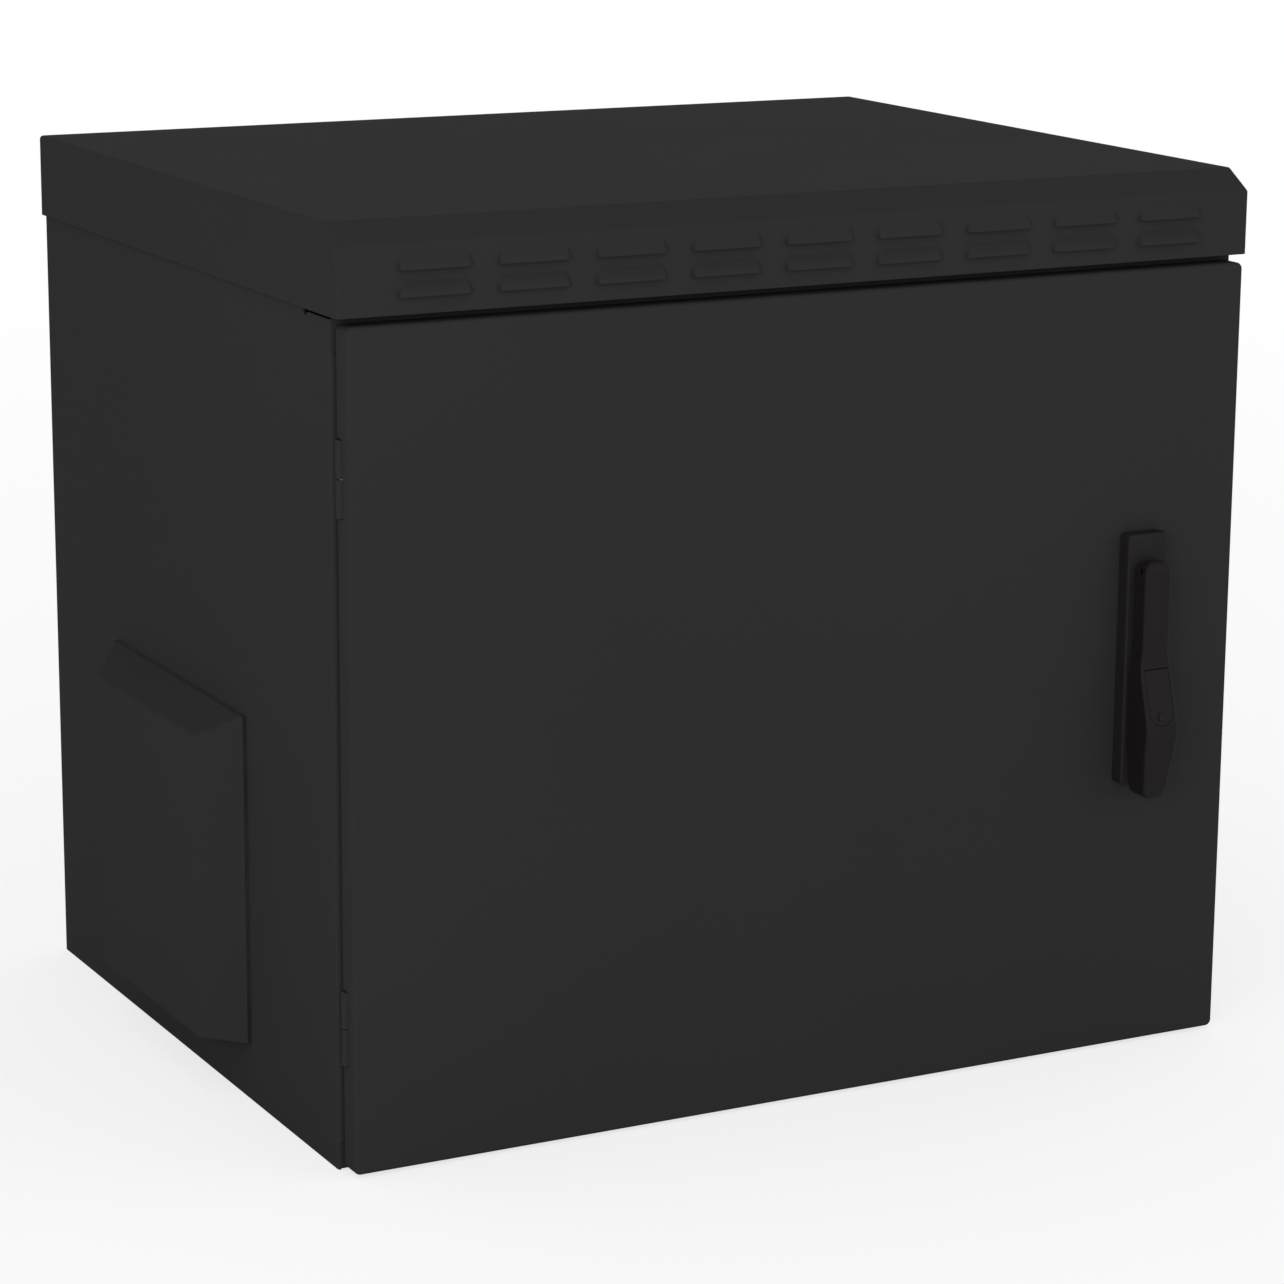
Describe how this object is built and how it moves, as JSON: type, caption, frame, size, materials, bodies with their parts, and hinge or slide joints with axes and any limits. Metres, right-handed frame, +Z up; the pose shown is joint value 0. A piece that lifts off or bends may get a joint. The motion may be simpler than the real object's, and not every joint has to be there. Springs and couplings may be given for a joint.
{
  "type": "wall mount network cabinet",
  "caption": "Wall mount rack enclosure with a louvred, chamfered roof cap, a hinged plain door with a swing handle and rod lock, and bevelled side rain hoods.",
  "frame": {"origin": "centre of the four wall fixing holes, on the face of the wall rails that lies on the wall", "axes": "+Y into the wall, +X to the right as seen from the front, +Z up"},
  "size_m": [0.648, 0.5179, 0.5465],
  "materials": {
    "powder_coat": "fine-textured charcoal powder coat, satin",
    "zinc_plate": "zinc-plated sheet steel",
    "black_plastic": "moulded black nylon, fine grain",
    "black_handle": "die-cast, satin black coat",
    "rubber": "black EPDM foam rubber",
    "filter_fleece": "pale filter fleece",
    "bright_steel": "bright zinc-plated steel",
    "black_screw": "black zinc-plated screws",
    "lock_metal": "nickel-plated lock barrel"
  },
  "bodies": {
    "cabinet": {"bar_studs": "bright_steel", "base_panel": "powder_coat", "cable_grommets": "rubber", "depth_bar_lower_left": "zinc_plate", "depth_bar_lower_right": "zinc_plate", "depth_bar_upper_left": "zinc_plate", "depth_bar_upper_right": "zinc_plate", "earth_nut": "bright_steel", "earth_stud": "zinc_plate", "filter_frame_left": "zinc_plate", "filter_frame_right": "zinc_plate", "filter_mat_left": "filter_fleece", "filter_mat_right": "filter_fleece", "gland_plate": "powder_coat", "gland_plate_gasket": "rubber", "gland_plate_screws": "black_screw", "hinge_frame_leaf_lower": "powder_coat", "hinge_frame_leaf_upper": "powder_coat", "hinge_pins": "bright_steel", "hood_gasket_left": "rubber", "hood_gasket_right": "rubber", "hood_screws": "black_screw", "rack_nuts": "bright_steel", "rack_rail_front_left": "zinc_plate", "rack_rail_front_right": "zinc_plate", "rack_rail_rear_left": "zinc_plate", "rack_rail_rear_right": "zinc_plate", "rail_bolts": "bright_steel", "rear_panel": "powder_coat", "roof_bracket_left": "zinc_plate", "roof_bracket_right": "zinc_plate", "roof_cap": "powder_coat", "roof_filter_mat": "filter_fleece", "roof_screws": "black_screw", "side_panel_left": "powder_coat", "side_panel_right": "powder_coat", "top_panel": "powder_coat", "vent_hood_left": "powder_coat", "vent_hood_right": "powder_coat", "wall_rail_lower": "zinc_plate", "wall_rail_upper": "zinc_plate"},
    "door": {"door_panel": "powder_coat", "door_gasket": "rubber", "hinge_door_leaf_lower": "powder_coat", "hinge_door_leaf_upper": "powder_coat", "handle_base": "black_plastic", "handle_screws": "black_screw", "lock_case": "black_plastic", "rod_guide_upper": "black_plastic", "rod_guide_lower": "black_plastic"},
    "swivel": {"swivel_head": "black_handle", "spindle": "bright_steel", "lock_pinion": "bright_steel"},
    "lever": {"handle_lever": "black_handle", "lever_pin": "bright_steel", "lock_cylinder": "lock_metal"},
    "cover": {"cylinder_cover": "black_handle"},
    "plug": {"lock_plug": "lock_metal"},
    "rod_upper": {"lock_rod_upper": "zinc_plate"},
    "rod_lower": {"lock_rod_lower": "zinc_plate"}
  },
  "joints": [
    {"name": "door_hinge", "type": "hinge", "parent": "cabinet", "child": "door", "pos_m": [-0.2953, -0.473, 0], "axis": [0, 0, -1], "range_deg": [0, 115]},
    {"name": "handle_swivel", "type": "hinge", "parent": "door", "child": "swivel", "pos_m": [0.228, -0.4855, 0.04945], "axis": [0, 1, 0], "range_deg": [0, 90]},
    {"name": "lever_lift", "type": "hinge", "parent": "swivel", "child": "lever", "pos_m": [0.228, -0.50165, 0.05545], "axis": [-1, 0, 0], "range_deg": [0, 40]},
    {"name": "cover_flip", "type": "hinge", "parent": "lever", "child": "cover", "pos_m": [0.228, -0.50772, -0.00627], "axis": [-1, 0, 0], "range_deg": [0, 100]},
    {"name": "plug_turn", "type": "hinge", "parent": "lever", "child": "plug", "pos_m": [0.228, -0.513, -0.02205], "axis": [0, -0.9624, 0.2715], "range_deg": [0, 90]},
    {"name": "rod_upper_slide", "type": "slide", "parent": "door", "child": "rod_upper", "axis": [0, 0, -1], "range_m": [0, 0.0142]},
    {"name": "rod_lower_slide", "type": "slide", "parent": "door", "child": "rod_lower", "axis": [0, 0, 1], "range_m": [0, 0.0142]}
  ],
  "couplings": [
    {"joint": "rod_upper_slide", "follows": "handle_swivel", "m_per_rad": 0.009},
    {"joint": "rod_lower_slide", "follows": "handle_swivel", "m_per_rad": 0.009}
  ]
}
